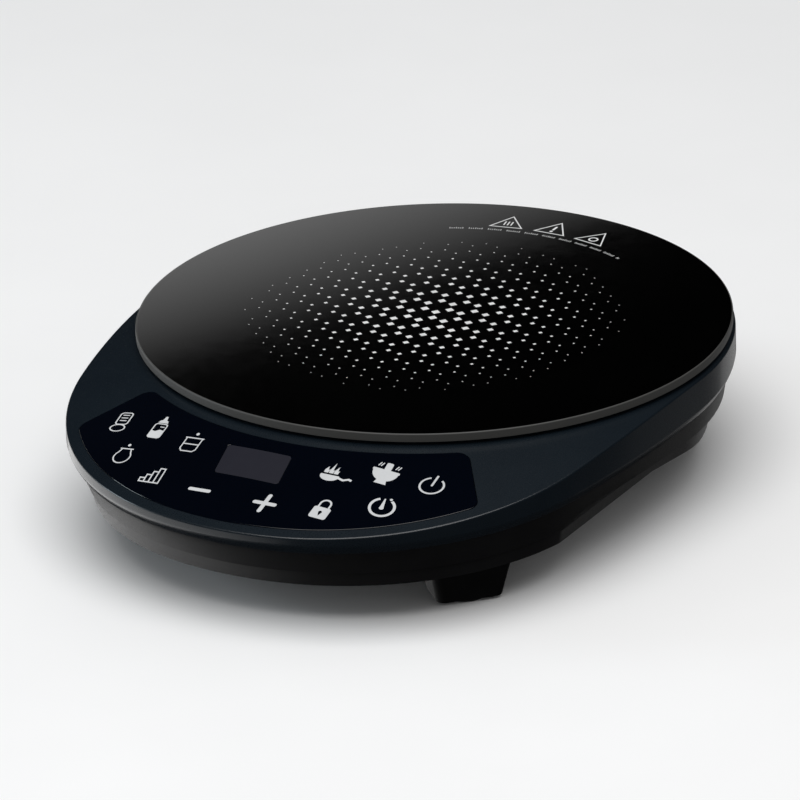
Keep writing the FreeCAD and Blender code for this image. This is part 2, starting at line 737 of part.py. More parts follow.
def block(size, level, radius):
    """Rounded upright block from its middle, width, depth and height."""
    x, y, w, d, h = size
    return rounded(centred(x, y, level, level + h, w, d), radius)


save("power_transistor", block(transistor_size, base_top, chip_edge))
save("bridge_rectifier", block(rectifier_size, base_top, chip_edge))
save("film_capacitors", group([block(size, board_top, 2 * chip_edge) for size in capacitor_sizes]))
save("supply_transformer", block(transformer_size, board_top, 2 * chip_edge))
save("line_capacitor", block(line_capacitor_size, board_top, 2 * chip_edge))
save("board_sockets", group([block(size, board_top, chip_edge) for size in socket_sizes]))

terminal = block(terminal_size, board_top, chip_edge)
terminal_top = board_top + terminal_size[4]
wires = [cylinder(terminal_size[0] + side * wire_hole_x, terminal_size[1], terminal_top - wire_hole_depth,
                  terminal_top, wire_hole_r) for side in (-1, 1)]
save("mains_terminal", cut_all(terminal, wires))

flange = cylinder(choke_x, choke_y, board_top, board_top + choke_flange_t, choke_r)
core = cylinder(choke_x, choke_y, board_top, board_top + choke_h, choke_core_r)
save("choke_core", fuse([flange, core, moved(flange, 0, 0, choke_h - choke_flange_t)]))
save("choke_winding", tube(choke_x, choke_y, board_top + choke_flange_t, board_top + choke_h - choke_flange_t,
                           choke_r - choke_wire_in, choke_core_r))
buzzer_top = board_top + buzzer_h
sound_hole = cylinder(buzzer_x, buzzer_y, buzzer_top - buzzer_hole[1], buzzer_top, buzzer_hole[0])
save("buzzer", cylinder(buzzer_x, buzzer_y, board_top, buzzer_top, buzzer_r).cut(sound_hole))

fuse_z = board_top + fuse_lift
cartridge = Part.makeCylinder(fuse_r, fuse_l, V(fuse_x - fuse_l / 2, fuse_y, fuse_z), V(1, 0, 0))
save("mains_fuse", cartridge)
clips = [centred(fuse_x + side * clip_spread / 2, fuse_y, board_top, fuse_z + fuse_r / 2, clip_w,
                 2 * (fuse_r + clip_wall)) for side in (-1, 1)]
save("fuse_clips", group([clip.cut(cartridge) for clip in clips]))


# ---- internal wiring -------------------------------------------------------
def cable(name, points, radius):
    """Round cable: straight runs joined by tangent arcs."""
    p = [V(*q) for q in points]
    edges = []
    start = p[0]
    for a, b, c in zip(p, p[1:], p[2:]):
        u = (b - a).normalize()
        w = (c - b).normalize()
        turn = u.getAngle(w)
        cut = 0.45 * min((b - a).Length, (c - b).Length)
        bend = cut / math.tan(turn / 2)
        first, last = b - u * cut, b + w * cut
        inward = (w - u).normalize()
        middle = b + inward * (bend / math.cos(turn / 2) - bend)
        edges.append(Part.makeLine(start, first))
        edges.append(Part.Arc(first, middle, last).toShape())
        print("%s bend radius %.1f" % (name, bend))
        start = last
    edges.append(Part.makeLine(start, p[-1]))
    path = Part.Wire(edges)
    ring = Part.Wire(Part.makeCircle(radius, p[0], p[1] - p[0]))
    solid = path.makePipeShell([ring], True, False)
    share = solid.Volume / (path.Length * math.pi * radius ** 2)
    print("%s length %.1f volume share %.4f" % (name, path.Length, share))
    save(name, solid)


under_former = former_z - sink_foot_r
cable("coil_lead", [(86.0, 53.0, board_top + 2), (87.0, 60.0, 41.0), (80.0, 66.0, 48.0),
                    (69.0, 67.0, under_former), (57.0, 62.0, under_former + 1)], 1.5)
cable("fan_lead", [(board_box[0] + 4.0, -40.0, board_top + 3), (-4.0, -30.0, board_top + 4),
                   (-14.0, -16.0, board_top + 10), (-24.0, -4.0, fan_z + fan_t + 2.4),
                   (-36.0, 4.0, fan_z + fan_t + 2.6)], 1.2)
cable("sensor_lead", [(34.0, -44.0, board_top + 7.2), (24.0, -38.0, 42.0), (12.0, -26.0, 46.0),
                      (4.0, -12.0, under_former), (0.0, -1.0, under_former + 1.6)], 1.0)
cable("panel_lead", [(60.0, -68.2, board_top + 4), (62.0, -82.0, board_top + 5), (56.0, -98.0, board_top + 7),
                     (48.0, -114.0, 40.0), (46.0, -128.0, 41.0)], 1.8)
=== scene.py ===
import bmesh
import bpy
import json
import math
from mathutils import Matrix, Vector


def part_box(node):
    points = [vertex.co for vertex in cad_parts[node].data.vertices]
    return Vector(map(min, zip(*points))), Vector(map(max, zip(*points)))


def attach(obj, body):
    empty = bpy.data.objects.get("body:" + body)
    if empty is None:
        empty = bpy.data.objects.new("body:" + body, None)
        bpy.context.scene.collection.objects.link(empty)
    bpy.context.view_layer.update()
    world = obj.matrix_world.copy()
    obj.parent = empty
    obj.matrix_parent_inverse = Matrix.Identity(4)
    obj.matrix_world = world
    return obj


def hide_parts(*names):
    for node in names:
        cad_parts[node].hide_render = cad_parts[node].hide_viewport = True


# Portable induction cooktop: glass plate, deck and side band, touch panel with its
# window and key marks, printed plate pattern, lower shell, feet and cord grommet.
# Metres and radians, +Z up, -Y towards the user.

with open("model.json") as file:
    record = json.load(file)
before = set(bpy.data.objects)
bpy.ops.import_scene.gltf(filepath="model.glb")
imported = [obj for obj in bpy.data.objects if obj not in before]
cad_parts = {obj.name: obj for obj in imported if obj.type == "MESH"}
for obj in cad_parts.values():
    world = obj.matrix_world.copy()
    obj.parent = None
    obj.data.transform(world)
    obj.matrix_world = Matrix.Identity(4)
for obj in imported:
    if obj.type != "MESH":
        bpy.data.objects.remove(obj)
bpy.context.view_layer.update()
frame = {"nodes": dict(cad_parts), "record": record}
bpy.ops.object.select_all(action="DESELECT")

# ---- sizes read from the fixed frame ----------------------------------------
plate_low, plate_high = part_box("glass_plate")
shell_low, shell_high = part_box("top_shell")
window_low, window_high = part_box("display_window")
PLATE_R = (plate_high.x - plate_low.x) / 2
AXIS_Y = (plate_low.y + plate_high.y) / 2
TOP_Z = plate_high.z
GLASS_Z = plate_low.z
REAR_R = shell_high.x
REACH = AXIS_Y - shell_low.y
SEAT_Z = shell_high.z

# ---- the housing's shape, round the plate's axis ------------------------------
MM = 0.001
SIDE_R = 0.510
FRONT_R = REAR_R + 0.012
CORNER_R = REAR_R - 0.012
SEAT_R = PLATE_R - 0.004
SEAT_INNER_R = SEAT_R - 0.019
SEAT_WALL = 0.003
WALL = 0.0024
DECK_WALL = 0.0028
DECK_DROP = 0.0064
DECK_SLOPE = 0.29
BAND_H = 0.0078
BAND_TUCK = 0.0026
BAND_TUCK_H = 0.005
PART_SLOPE = 0.0358
CREASE_R = 0.0010          # rounding between the deck and the band
CREASE_STEPS = 7
TUCK_STEPS = 5
SUPPORT = 0.0003           # a loop this far from a rounded edge keeps the flat beside it flat
PANEL_INNER_R = REAR_R + 0.0034
PANEL_MARGIN = 0.0054
PANEL_HALF = math.radians(35.5)
PANEL_CORNER = 0.006
PANEL_T = 0.0014
PANEL_GAP = 0.0002
PANEL_PROUD = 0.0002       # the panel's face above the deck
PANEL_EDGE = 0.00034       # rounding of the panel's edges
WINDOW_EDGE = 0.00012
WINDOW_R = PANEL_INNER_R + 0.0169
WINDOW_X = (window_low.x + window_high.x) / 2
WINDOW_W, WINDOW_D = 0.0325, 0.0185
WINDOW_CORNER = 0.0016
WINDOW_LEAN = 0.0032       # its back edge stands this far left of its front edge
PLATE_EDGE_TOP = 0.0006    # rounding of the glass, above and below
PLATE_EDGE_UNDER = 0.0003
INK = 0.00005              # thickness of a printed mark
WELD = 0.000001            # points closer than this are one
FRAME_WELD = 0.000002      # the same, for copies of the frame's pieces
PAST = 0.004               # a cutting shape reaches this far past the deck's ends
ABOVE_DECK = 0.01          # and this far above it
ROUND_STEPS = 360          # facets round the plate's axis
SHARP = 60                 # degrees; edges sharper than this are rounded over
FRAME_SHARP = 40           # the same, for copies of the frame's pieces
FRAME_FLAT = 0.5           # their faces that turn less than this are one flat
STUDIO_MIDDLE = (0, 0, 0.04)
PLATE_TOP = TOP_Z - INK
DECK_RIM_Z = TOP_Z - DECK_DROP
SLOPE_ANGLE = math.atan(DECK_SLOPE)
PART_FRONT_Z = DECK_RIM_Z - DECK_SLOPE * (REACH - REAR_R) - BAND_H


# ---- materials ----------------------------------------------------------------
NOISE_ROUGHNESS = 0.55
GROUND_GLASS = (0.060, 0.060, 0.057, 1)
GROUND_ROUGHNESS = (0.5, 0.5, 0.5, 1)


def shader_of(mat):
    return mat.node_tree.nodes["Principled BSDF"]


def new_material(name, colour, roughness, **sockets):
    """A principled material with its constants on the shader's own sockets."""
    mat = bpy.data.materials.new(name)
    mat.use_nodes = True
    shader = shader_of(mat)
    shader.inputs["Base Color"].default_value = (*colour, 1)
    shader.inputs["Roughness"].default_value = roughness
    for socket, value in sockets.items():
        shader.inputs[socket.replace("_", " ")].default_value = value
    return mat


def node(mat, kind, **settings):
    made = mat.node_tree.nodes.new(kind)
    for name, value in settings.items():
        setattr(made, name, value)
    return made


def link(mat, out, into):
    mat.node_tree.links.new(out, into)


def noise(mat, scale, detail=3.0):
    """Noise over the object's own coordinates; scale is in features per metre."""
    coords = node(mat, "ShaderNodeTexCoord")
    made = node(mat, "ShaderNodeTexNoise")
    made.inputs["Scale"].default_value = scale
    made.inputs["Detail"].default_value = detail
    made.inputs["Roughness"].default_value = NOISE_ROUGHNESS
    link(mat, coords.outputs["Object"], made.inputs["Vector"])
    return made


def ramp(mat, source, low, high, into, spread=(0.35, 0.65)):
    """Map a 0 to 1 value onto a range of colours or plain values and feed it to a socket."""
    made = node(mat, "ShaderNodeValToRGB")
    for stop, position, value in zip(made.color_ramp.elements, spread, (low, high)):
        stop.position = position
        stop.color = (*value, 1) if isinstance(value, tuple) else (value, value, value, 1)
    link(mat, source, made.inputs["Fac"])
    link(mat, made.outputs["Color"], into)


def bump(mat, height, strength, distance):
    """Bump from a height; distance is in metres."""
    made = node(mat, "ShaderNodeBump")
    made.inputs["Strength"].default_value = strength
    made.inputs["Distance"].default_value = distance
    link(mat, height, made.inputs["Height"])
    link(mat, made.outputs["Normal"], shader_of(mat).inputs["Normal"])


def moulded(name, low, high, rough_low, rough_high, grain, depth, **sockets):
    """Plastic or rubber: a fine moulded grain, with slightly uneven tone and gloss."""
    mat = new_material(name, low, rough_high, **sockets)
    shader = shader_of(mat)
    tone = noise(mat, 45)
    fine = noise(mat, grain, 2.0)
    ramp(mat, tone.outputs["Fac"], low, high, shader.inputs["Base Color"])
    ramp(mat, fine.outputs["Fac"], rough_low, rough_high, shader.inputs["Roughness"])
    bump(mat, fine.outputs["Fac"], 0.6, depth)
    return mat


def polished(name, low, high, rough_low, rough_high, **sockets):
    """Smooth gloss: faint clouding of the colour and a trace of wiping marks in the gloss."""
    mat = new_material(name, low, rough_low, **sockets)
    shader = shader_of(mat)
    cloud = noise(mat, 14, 4.0)
    wipe = noise(mat, 160, 5.0)
    ramp(mat, cloud.outputs["Fac"], low, high, shader.inputs["Base Color"])
    ramp(mat, wipe.outputs["Fac"], rough_low, rough_high, shader.inputs["Roughness"])
    return mat


def ground_edge(mat, radius):
    """Round plate's rim outside this radius: matt ground glass instead of gloss."""
    shader = shader_of(mat)
    coords = node(mat, "ShaderNodeTexCoord")
    flat = node(mat, "ShaderNodeMapping")
    flat.inputs["Location"].default_value = (0, -AXIS_Y, 0)
    flat.inputs["Scale"].default_value = (1, 1, 0)
    away = node(mat, "ShaderNodeVectorMath", operation="LENGTH")
    rim = node(mat, "ShaderNodeMath", operation="GREATER_THAN")
    rim.inputs[1].default_value = radius
    link(mat, coords.outputs["Object"], flat.inputs["Vector"])
    link(mat, flat.outputs["Vector"], away.inputs[0])
    link(mat, away.outputs["Value"], rim.inputs[0])
    for socket, value in (("Base Color", GROUND_GLASS), ("Roughness", GROUND_ROUGHNESS)):
        before = shader.inputs[socket].links[0].from_socket
        mix = node(mat, "ShaderNodeMixRGB")
        mix.inputs["Color2"].default_value = value
        link(mat, rim.outputs[0], mix.inputs["Fac"])
        link(mat, before, mix.inputs["Color1"])
        link(mat, mix.outputs["Color"], shader.inputs[socket])


def metal(name, low, high, rough_low, rough_high):
    """Bare or plated metal: clouded tone and gloss, and a very fine roughness."""
    mat = new_material(name, low, rough_low, Metallic=1.0)
    shader = shader_of(mat)
    cloud = noise(mat, 220, 4.0)
    ramp(mat, cloud.outputs["Fac"], low, high, shader.inputs["Base Color"])
    ramp(mat, cloud.outputs["Fac"], rough_low, rough_high, shader.inputs["Roughness"])
    bump(mat, noise(mat, 900).outputs["Fac"], 0.2, 0.00002)
    return mat


def striped(name, low, high, scale, roughness, **sockets):
    """Wound wire or laid copper: fine rings about the winding's own axis."""
    mat = new_material(name, low, roughness, **sockets)
    shader = shader_of(mat)
    coords = node(mat, "ShaderNodeTexCoord")
    rings = node(mat, "ShaderNodeTexWave", wave_type="RINGS", rings_direction="Z")
    rings.inputs["Scale"].default_value = scale
    shift = node(mat, "ShaderNodeMapping")
    shift.inputs["Location"].default_value = (0, -AXIS_Y, 0)
    link(mat, coords.outputs["Object"], shift.inputs["Vector"])
    link(mat, shift.outputs["Vector"], rings.inputs["Vector"])
    ramp(mat, rings.outputs["Fac"], low, high, shader.inputs["Base Color"], (0.1, 0.9))
    bump(mat, rings.outputs["Fac"], 0.5, 0.0002)
    return mat


MATERIALS = {
    "ceramic_glass": polished("black_glass_ceramic", (0.0004, 0.0004, 0.0004), (0.0006, 0.0006, 0.0006),
                              0.055, 0.07, IOR=1.53),
    "panel_gloss": polished("gloss_panel", (0.0002, 0.0009, 0.0030), (0.0003, 0.0011, 0.0035),
                            0.05, 0.10, IOR=1.49),
    "window_smoke": polished("smoked_window", (0.0190, 0.0190, 0.0265), (0.0205, 0.0205, 0.0280),
                             0.30, 0.36, Specular_IOR_Level=0.2),
    "deck_satin": moulded("satin_deck", (0.0050, 0.0092, 0.0138), (0.0058, 0.0104, 0.0152),
                          0.26, 0.34, 2600, 0.000012, Coat_Weight=0.25, Coat_Roughness=0.12),
    "body_textured": moulded("textured_body", (0.0060, 0.0060, 0.0066), (0.0076, 0.0076, 0.0082),
                             0.36, 0.50, 1900, 0.00006),
    "rubber_black": moulded("black_rubber", (0.008, 0.008, 0.008), (0.013, 0.013, 0.013),
                            0.62, 0.80, 1500, 0.00004),
    "silicone_grey": moulded("grey_silicone", (0.19, 0.19, 0.18), (0.25, 0.25, 0.24), 0.45, 0.6, 700, 0.00005),
    "steel_zinc": metal("zinc_steel", (0.52, 0.53, 0.52), (0.62, 0.62, 0.60), 0.28, 0.42),
    "board_green": moulded("circuit_board", (0.012, 0.085, 0.030), (0.020, 0.125, 0.045),
                           0.28, 0.42, 600, 0.00004),
    "plastic_white": moulded("white_nylon", (0.66, 0.65, 0.60), (0.74, 0.73, 0.69), 0.40, 0.55, 900, 0.00003),
    "spring_steel": metal("tinned_spring", (0.45, 0.44, 0.42), (0.56, 0.55, 0.52), 0.30, 0.42),
    "mica_silver": moulded("mica", (0.30, 0.28, 0.22), (0.46, 0.44, 0.37), 0.30, 0.50, 350, 0.00005),
    "plastic_black": moulded("black_nylon", (0.012, 0.012, 0.013), (0.020, 0.020, 0.022),
                             0.42, 0.58, 1300, 0.00004),
    "copper_enamel": striped("enamelled_copper", (0.22, 0.065, 0.022), (0.50, 0.19, 0.07),
                             52, 0.34, Metallic=0.7),
    "ferrite_dark": moulded("ferrite", (0.020, 0.020, 0.023), (0.038, 0.038, 0.042),
                            0.5, 0.7, 800, 0.00006),
    "ceramic_white": moulded("white_ceramic", (0.68, 0.67, 0.63), (0.76, 0.75, 0.72), 0.25, 0.35, 500, 0.00002),
    "aluminium_raw": metal("raw_aluminium", (0.58, 0.59, 0.60), (0.68, 0.69, 0.70), 0.30, 0.45),
    "plastic_yellow": moulded("yellow_case", (0.48, 0.32, 0.03), (0.58, 0.40, 0.05), 0.35, 0.5, 900, 0.00003),
    "brass_tin": metal("tinned_brass", (0.50, 0.44, 0.30), (0.60, 0.54, 0.38), 0.30, 0.42),
    "wire_red": moulded("red_insulation", (0.22, 0.010, 0.010), (0.32, 0.018, 0.015), 0.35, 0.5, 700, 0.00003),
    "wire_white": moulded("white_insulation", (0.58, 0.58, 0.55), (0.68, 0.68, 0.65),
                          0.35, 0.5, 700, 0.00003),
}
ground_edge(MATERIALS["ceramic_glass"], PLATE_R - PLATE_EDGE_TOP)
# Darker, duller copy of the body's textured finish for the feet: its lower colour is painted shade for the feet
# tucked under the body, and its low gloss keeps the left sweep card out of them.
SHADED_FOOT_FINISH = moulded("matt_foot_painted_shade", (0.0034, 0.0034, 0.0037), (0.0044, 0.0044, 0.0048),
                       0.60, 0.75, 1900, 0.00005, Specular_IOR_Level=0.12)
KEY_INK = moulded("key_ink", (0.56, 0.57, 0.58), (0.64, 0.65, 0.66), 0.45, 0.6, 1800, 0.000004)
PLATE_INK = moulded("plate_ink", (0.70, 0.70, 0.70), (0.80, 0.80, 0.80), 0.40, 0.55, 1800, 0.000004)


# ---- modelling helpers -----------------------------------------------------------
def active():
    return bpy.context.view_layer.objects.active


def begin():
    """Object mode with nothing selected, ready for the next primitive."""
    if bpy.context.mode != "OBJECT":
        bpy.ops.object.mode_set(mode="OBJECT")
    bpy.ops.object.select_all(action="DESELECT")


def pick(obj):
    begin()
    obj.hide_viewport = False
    obj.select_set(True)
    bpy.context.view_layer.objects.active = obj


def modify(obj, kind, **settings):
    """Add a modifier with these settings and apply it."""
    pick(obj)
    bpy.ops.object.modifier_add(type=kind)
    added = obj.modifiers[-1]
    for name, value in settings.items():
        setattr(added, name, value)
    bpy.ops.object.modifier_apply(modifier=added.name)


def round_edges(obj, width, segments, angle, clamp=False):
    """Round every edge sharper than this angle."""
    modify(obj, "BEVEL", width=width, segments=segments, limit_method="ANGLE",
           angle_limit=math.radians(angle), use_clamp_overlap=clamp)


def cut(obj, tool, operation="DIFFERENCE"):
    """Boolean with a tool that is used up."""
    modify(obj, "BOOLEAN", operation=operation, solver="EXACT", object=tool)
    bpy.data.objects.remove(tool)


def joined(pieces):
    begin()
    for piece in pieces:
        piece.select_set(True)
    bpy.context.view_layer.objects.active = pieces[0]
    if len(pieces) > 1:
        bpy.ops.object.join()
    return pieces[0]


def done(obj, name, slot, material=None, angle=35.0, body="housing", replaces=()):
    """Name a finished piece, smooth it, dress it and let it ride on its body."""
    pick(obj)
    bpy.ops.object.transform_apply(location=True, rotation=True, scale=True)
    bpy.ops.object.shade_smooth_by_angle(angle=math.radians(angle))
    if len(obj.data.polygons) > 60:
        modify(obj, "WEIGHTED_NORMAL", keep_sharp=True, weight=90)
    obj.name = obj.data.name = name
    obj.data.materials.clear()
    obj.data.materials.append(material or MATERIALS[slot])
    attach(obj, body)
    if replaces:
        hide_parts(*replaces)
    begin()


def welded(distance=WELD):
    """Merge doubles and point the faces outwards, in edit mode."""
    bpy.ops.mesh.select_all(action="SELECT")
    bpy.ops.mesh.remove_doubles(threshold=distance)
    bpy.ops.mesh.normals_make_consistent(inside=False)
    begin()


def set_loop(obj, points):
    """Put each selected vertex at its own place in the list."""
    mesh = bmesh.from_edit_mesh(obj.data)
    place = mesh.verts.layers.int["place"]
    for vert in mesh.verts:
        if vert.select:
            vert.co = points[vert[place]]
    bmesh.update_edit_mesh(obj.data)


def loft(loops, closed=False):
    """A skin through loops of equally many points: one circle, then extruded loop by loop."""
    begin()
    bpy.ops.mesh.primitive_circle_add(vertices=len(loops[0]), radius=PLATE_R)
    obj = active()
    bpy.ops.object.mode_set(mode="EDIT")
    mesh = bmesh.from_edit_mesh(obj.data)
    place = mesh.verts.layers.int.new("place")
    mesh.verts.ensure_lookup_table()
    for index, vert in enumerate(mesh.verts):
        vert[place] = index
    bmesh.update_edit_mesh(obj.data)
    bpy.ops.mesh.select_all(action="SELECT")
    set_loop(obj, loops[0])
    if not closed:
        bpy.ops.mesh.edge_face_add()
        bpy.ops.mesh.duplicate()
        bpy.ops.mesh.delete(type="ONLY_FACE")
        bpy.ops.mesh.select_all(action="DESELECT")
        mesh = bmesh.from_edit_mesh(obj.data)
        for edge in mesh.edges:
            edge.select_set(edge.is_wire)
        bmesh.update_edit_mesh(obj.data)
    for points in loops[1:] + (loops[:1] if closed else []):
        bpy.ops.mesh.extrude_edges_move()
        set_loop(obj, points)
    if not closed:
        bpy.ops.mesh.edge_face_add()
    welded()
    return obj


def level(points, height):
    return [(x, AXIS_Y + y, height) for x, y in points]


def prism(points, low, high):
    """Upright block with a plan outline."""
    return loft([level(points, low), level(points, high)])


def ring_about_axis(profile):
    """Closed section of (radius, height) points spun about the plate's axis."""
    begin()
    bpy.ops.mesh.primitive_circle_add(vertices=len(profile), radius=PLATE_R)
    obj = active()
    bpy.ops.object.mode_set(mode="EDIT")
    mesh = bmesh.from_edit_mesh(obj.data)
    mesh.verts.ensure_lookup_table()
    for vert, (radius, height) in zip(mesh.verts, profile):
        vert.co = (radius, AXIS_Y, height)
    bmesh.update_edit_mesh(obj.data)
    bpy.ops.mesh.select_all(action="SELECT")
    bpy.ops.mesh.spin(steps=ROUND_STEPS, angle=2 * math.pi, center=(0, AXIS_Y, 0), axis=(0, 0, 1))
    welded()
    return obj


# ---- plan outlines -------------------------------------------------------------------
def meet(c0, r0, c1, r1):
    """Frontmost crossing of two circles in plan."""
    dx, dy = c1[0] - c0[0], c1[1] - c0[1]
    d = math.hypot(dx, dy)
    a = (d * d + r0 * r0 - r1 * r1) / (2 * d)
    h = math.sqrt(r0 * r0 - a * a)
    first = (c0[0] + (a * dx + h * dy) / d, c0[1] + (a * dy - h * dx) / d)
    second = (c0[0] + (a * dx - h * dy) / d, c0[1] + (a * dy + h * dx) / d)
    return min(first, second, key=lambda point: point[1])


def direction(c0, c1):
    return math.atan2(c1[1] - c0[1], c1[0] - c0[0])


FRONT_C = (0.0, FRONT_R - REACH)
SIDE_C = (REAR_R - SIDE_R, 0.0)
CORNER_C = meet(SIDE_C, SIDE_R - CORNER_R, FRONT_C, FRONT_R - CORNER_R)
FRONT_TURN = direction(FRONT_C, CORNER_C)
SIDE_TURN = direction(SIDE_C, CORNER_C)
QUARTER = math.pi / 2


def arc(centre, radius, a0, a1, steps):
    """Points along an arc, the last one left out."""
    turns = [a0 + (a1 - a0) * k / steps for k in range(steps)]
    return [(centre[0] + radius * math.cos(a), centre[1] + radius * math.sin(a)) for a in turns]


def whole(right):
    """Closed outline from its right half, whose ends are on the middle line."""
    return right + [(-x, y) for x, y in reversed(right[1:-1])]


def outline(grow):
    """Plan outline of the housing, offset outwards by grow."""
    return whole(arc(FRONT_C, FRONT_R + grow, -QUARTER, FRONT_TURN, 12)
                 + arc(CORNER_C, CORNER_R + grow, FRONT_TURN, SIDE_TURN, 56)
                 + arc(SIDE_C, SIDE_R + grow, SIDE_TURN, 0.0, 34)
                 + arc((0, 0), REAR_R + grow, 0.0, QUARTER, 76) + [(0.0, REAR_R + grow)])


def circle(radius):
    """Circle whose points stand at the same bearings as the housing outline's."""
    bearings = [math.atan2(y, x) for x, y in outline(0)]
    return [(radius * math.cos(a), radius * math.sin(a)) for a in bearings]


def panel_outline(shrink):
    """Outline of the touch panel: a ring sector with rounded corners."""
    inner = PANEL_INNER_R + shrink
    margin = PANEL_MARGIN + shrink
    corner = PANEL_CORNER - shrink
    inset = corner + shrink
    along = (math.sin(PANEL_HALF), -math.cos(PANEL_HALF))
    inwards = (-math.cos(PANEL_HALF), -math.sin(PANEL_HALF))
    reach = CORNER_R - margin - corner
    ox, oy = inwards[0] * inset - CORNER_C[0], inwards[1] * inset - CORNER_C[1]
    half_b = along[0] * ox + along[1] * oy
    run = -half_b + math.sqrt(half_b * half_b - (ox * ox + oy * oy - reach * reach))
    outer_c = (along[0] * run + inwards[0] * inset, along[1] * run + inwards[1] * inset)
    back = math.sqrt((inner + corner) ** 2 - inset ** 2)
    inner_c = (along[0] * back + inwards[0] * inset, along[1] * back + inwards[1] * inset)
    side = math.atan2(-inwards[1], -inwards[0])
    outer_turn = direction(CORNER_C, outer_c)
    inner_turn = direction((0, 0), inner_c)
    return whole(arc(FRONT_C, FRONT_R - margin, -QUARTER, FRONT_TURN, 10)
                 + arc(CORNER_C, CORNER_R - margin, FRONT_TURN, outer_turn, 40)
                 + arc(outer_c, corner, outer_turn, side, 10)
                 + arc(inner_c, corner, side, inner_turn + math.pi, 10)
                 + arc((0, 0), inner, inner_turn, -QUARTER, 40) + [(0.0, -inner)])


def deck_z(radius):
    """Height of the conical deck at this radius."""
    return DECK_RIM_Z - DECK_SLOPE * (radius - REAR_R)


def part_z(y):
    """Height of the parting plane between the shells; y is measured from the plate's axis."""
    return PART_FRONT_Z + PART_SLOPE * (y + REACH)


def on_deck(points, drop=0.0):
    return [(x, AXIS_Y + y, deck_z(math.hypot(x, y)) - drop) for x, y in points]


def on_parting(points, rise):
    return [(x, AXIS_Y + y, part_z(y) + rise) for x, y in points]


def deck_layer(top, bottom):
    """Conical layer from top above the deck's surface to bottom under it."""
    inner, outer = REAR_R - PAST, REACH + PAST
    return ring_about_axis([(inner, deck_z(inner) + top), (outer, deck_z(outer) + top),
                            (outer, deck_z(outer) - bottom), (inner, deck_z(inner) - bottom)])


# ---- top shell -------------------------------------------------------------------------
def crease_loop(angle):
    """One loop of the rounded edge between the deck and the band; angle 90 degrees faces outwards."""
    tangent = outline(CREASE_R * (math.sin(SLOPE_ANGLE) - 1))
    here = outline(CREASE_R * (math.sin(angle) - 1))
    lift = CREASE_R * (math.cos(angle) - math.cos(SLOPE_ANGLE))
    return [(x, AXIS_Y + y, deck_z(math.hypot(tx, ty)) + lift) for (tx, ty), (x, y) in zip(tangent, here)]


def make_top_shell():
    """Seat for the glass, deck, rounded edge, band and the wall's inside, in one closed skin."""
    loops = [level(circle(SEAT_INNER_R), SEAT_Z), level(circle(SEAT_R - SUPPORT), SEAT_Z),
             level(circle(SEAT_R), SEAT_Z - SUPPORT / 2), on_deck(circle(SEAT_R)),
             on_deck(outline(CREASE_R * (math.sin(SLOPE_ANGLE) - 1) - SUPPORT))]
    loops += [crease_loop(SLOPE_ANGLE + (QUARTER - SLOPE_ANGLE) * k / CREASE_STEPS)
              for k in range(CREASE_STEPS + 1)]
    loops.append(on_parting(outline(0), BAND_TUCK_H))
    for k in range(1, TUCK_STEPS + 1):
        share = k / TUCK_STEPS
        loops.append(on_parting(outline(-BAND_TUCK * share ** 1.5), BAND_TUCK_H * (1 - share)))
    loops += [on_parting(outline(-BAND_TUCK - WALL), 0), on_parting(outline(-WALL), BAND_TUCK_H),
              on_deck(outline(-WALL), DECK_WALL), on_deck(circle(SEAT_R), SEAT_WALL),
              level(circle(SEAT_INNER_R), SEAT_Z - SEAT_WALL)]
    shell = loft(loops, closed=True)
    recess = prism(panel_outline(0), 0, TOP_Z)
    cut(recess, deck_layer(ABOVE_DECK, PANEL_T), "INTERSECT")
    cut(shell, recess)
    done(shell, "top_shell_skin", "deck_satin", angle=25, replaces=["top_shell"])


# ---- touch panel and window ---------------------------------------------------------------
def window_prism(shrink):
    """Upright block with the window's rounded plan."""
    half_w, half_d = WINDOW_W / 2 - shrink, WINDOW_D / 2 - shrink
    corners = [(WINDOW_X + side * half_w - WINDOW_LEAN * end * half_d / WINDOW_D,
                -WINDOW_R + end * half_d)
               for side, end in ((-1, -1), (1, -1), (1, 1), (-1, 1))]
    obj = prism(corners, 0, TOP_Z)
    pick(obj)
    bpy.ops.object.mode_set(mode="EDIT")
    bpy.ops.mesh.select_mode(type="EDGE")
    bpy.ops.mesh.select_all(action="DESELECT")
    mesh = bmesh.from_edit_mesh(obj.data)
    for edge in mesh.edges:
        if abs(edge.verts[0].co.z - edge.verts[1].co.z) > TOP_Z / 2:
            edge.select_set(True)
    bmesh.update_edit_mesh(obj.data)
    bpy.ops.mesh.bevel(offset=WINDOW_CORNER, segments=6)
    bpy.ops.mesh.select_mode(type="VERT")
    begin()
    return obj


def make_panel():
    """Gloss panel standing a little proud of the deck, and the window let into it."""
    panel = prism(panel_outline(PANEL_GAP), 0, TOP_Z)
    cut(panel, deck_layer(PANEL_PROUD, PANEL_T), "INTERSECT")
    cut(panel, window_prism(0))
    round_edges(panel, PANEL_EDGE, 3, SHARP)
    done(panel, "touch_panel", "panel_gloss", replaces=["control_panel"])
    window = window_prism(PANEL_GAP / 2)
    cut(window, deck_layer(PANEL_PROUD / 2, PANEL_T), "INTERSECT")
    round_edges(window, WINDOW_EDGE, 2, SHARP)
    done(window, "smoked_window", "window_smoke", replaces=["display_window"])


# ---- key marks -----------------------------------------------------------------------------
LINE = 0.46                # width of a drawn line, in millimetres as are all the marks
MARK_WELD = 0.001


def traced(points, closed, fill):
    """Upright wall or block, one unit high, from a flat curve through points."""
    curve = bpy.data.curves.new("line", "CURVE")
    curve.dimensions = "2D"
    curve.fill_mode = fill
    curve.extrude = 0.5
    spline = curve.splines.new("POLY")
    spline.points.add(len(points) - 1)
    for point, (x, y) in zip(spline.points, points):
        point.co = (x, y, 0, 1)
    spline.use_cyclic_u = closed
    obj = bpy.data.objects.new("line", curve)
    bpy.context.scene.collection.objects.link(obj)
    pick(obj)
    bpy.ops.object.convert(target="MESH")
    return obj


